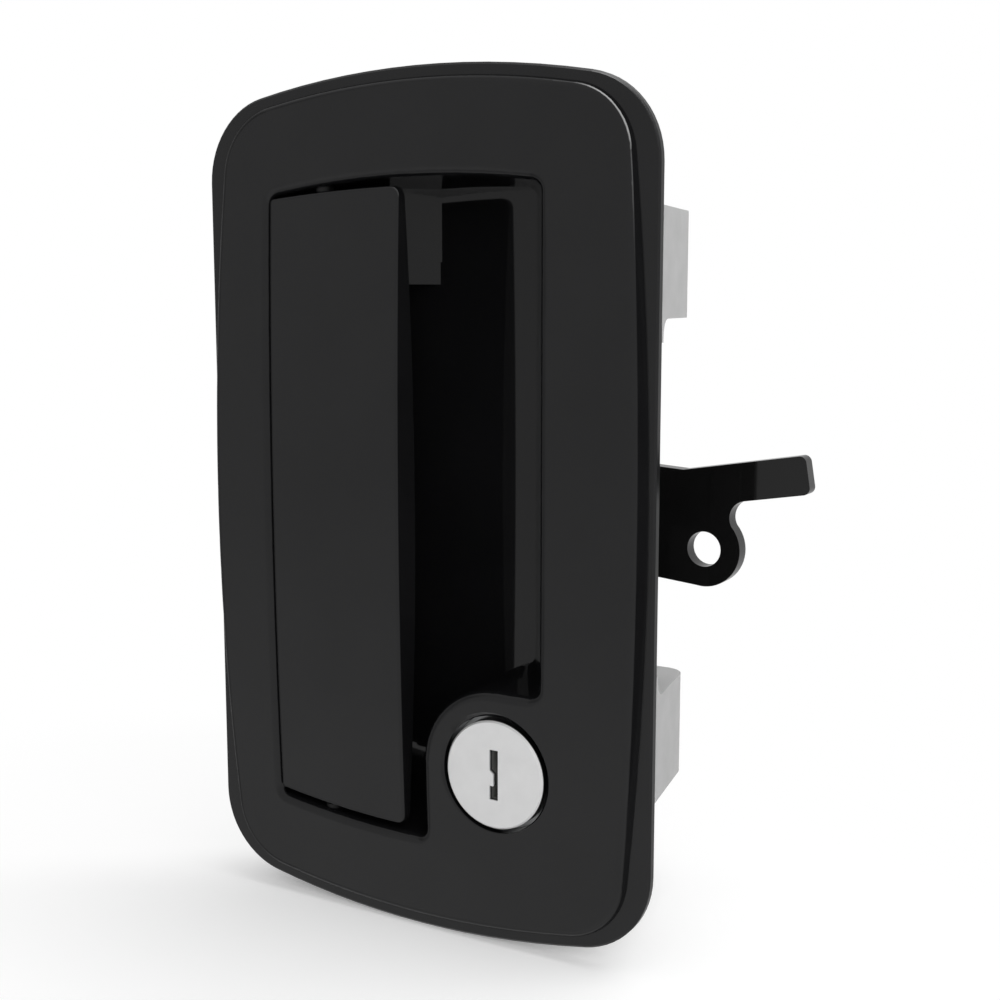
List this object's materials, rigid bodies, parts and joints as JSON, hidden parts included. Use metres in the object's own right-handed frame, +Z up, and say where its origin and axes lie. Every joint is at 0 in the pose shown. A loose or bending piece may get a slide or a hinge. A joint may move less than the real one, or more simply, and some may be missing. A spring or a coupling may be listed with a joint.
{
  "type": "motorhome door lock",
  "caption": "Flush black paddle lock for a motorhome entry door, with a finger recess, a round key lock, a side lever that pulls the latch rod, and rear bridge clamps.",
  "frame": {"origin": "middle of the flange's back plane, on the axis of the door cut-out", "axes": "+X to the right across the door seen from outside, +Y into the door, +Z up"},
  "size_m": [0.1074, 0.0536, 0.15],
  "materials": {
    "black_casting": "gloss black powder coat over a zinc casting",
    "black_steel": "gloss black coat over sheet steel",
    "satin_cap": "satin stainless steel",
    "bare_casting": "bare cast metal, fine blasted surface",
    "gasket_rubber": "soft closed-cell rubber",
    "bright_steel": "zinc plated steel",
    "bush_plastic": "moulded bearing plastic",
    "lock_brass": "turned brass",
    "barrel_casting": "machined casting"
  },
  "bodies": {
    "housing": {"bezel_housing": "black_casting", "flange_gasket": "gasket_rubber", "hinge_pin": "bright_steel", "hinge_bushes": "bush_plastic", "rest_bumper": "gasket_rubber", "pivot_stud": "bright_steel", "lever_washer": "bright_steel", "lever_clip": "bright_steel", "lever_spring": "bright_steel", "lock_barrel": "barrel_casting", "barrel_seal": "gasket_rubber", "barrel_clip": "bright_steel", "upper_clamp": "bare_casting", "lower_clamp": "bare_casting", "clamp_washers": "bright_steel", "clamp_screws": "bright_steel"},
    "paddle": {"paddle_handle": "black_casting"},
    "lever": {"actuating_lever": "black_steel", "lever_bush": "bush_plastic"},
    "plug": {"plug_cap": "satin_cap", "key_plug": "lock_brass", "plug_wafers": "lock_brass", "lock_cam": "bright_steel", "cam_washer": "bright_steel", "cam_screw": "bright_steel"}
  },
  "joints": [
    {"name": "paddle_swing", "type": "hinge", "parent": "housing", "child": "paddle", "pos_m": [-0.0197, -0.0003, 0], "axis": [0, 0, -1], "range_deg": [0, 25]},
    {"name": "lever_turn", "type": "hinge", "parent": "housing", "child": "lever", "pos_m": [-0.013, 0.0224, 0.002], "axis": [0, 1, 0], "range_deg": [0, 15], "stiffness_Nm_per_rad": 0.15, "springref_deg": -34.38, "deforming": ["lever_spring"]},
    {"name": "key_turn", "type": "hinge", "parent": "housing", "child": "plug", "pos_m": [0.01675, 0.01, -0.04375], "axis": [0, -1, 0], "range_deg": [0, 90]}
  ],
  "couplings": [
    {"joint": "lever_turn", "follows": "paddle_swing", "ratio": 0.6}
  ]
}
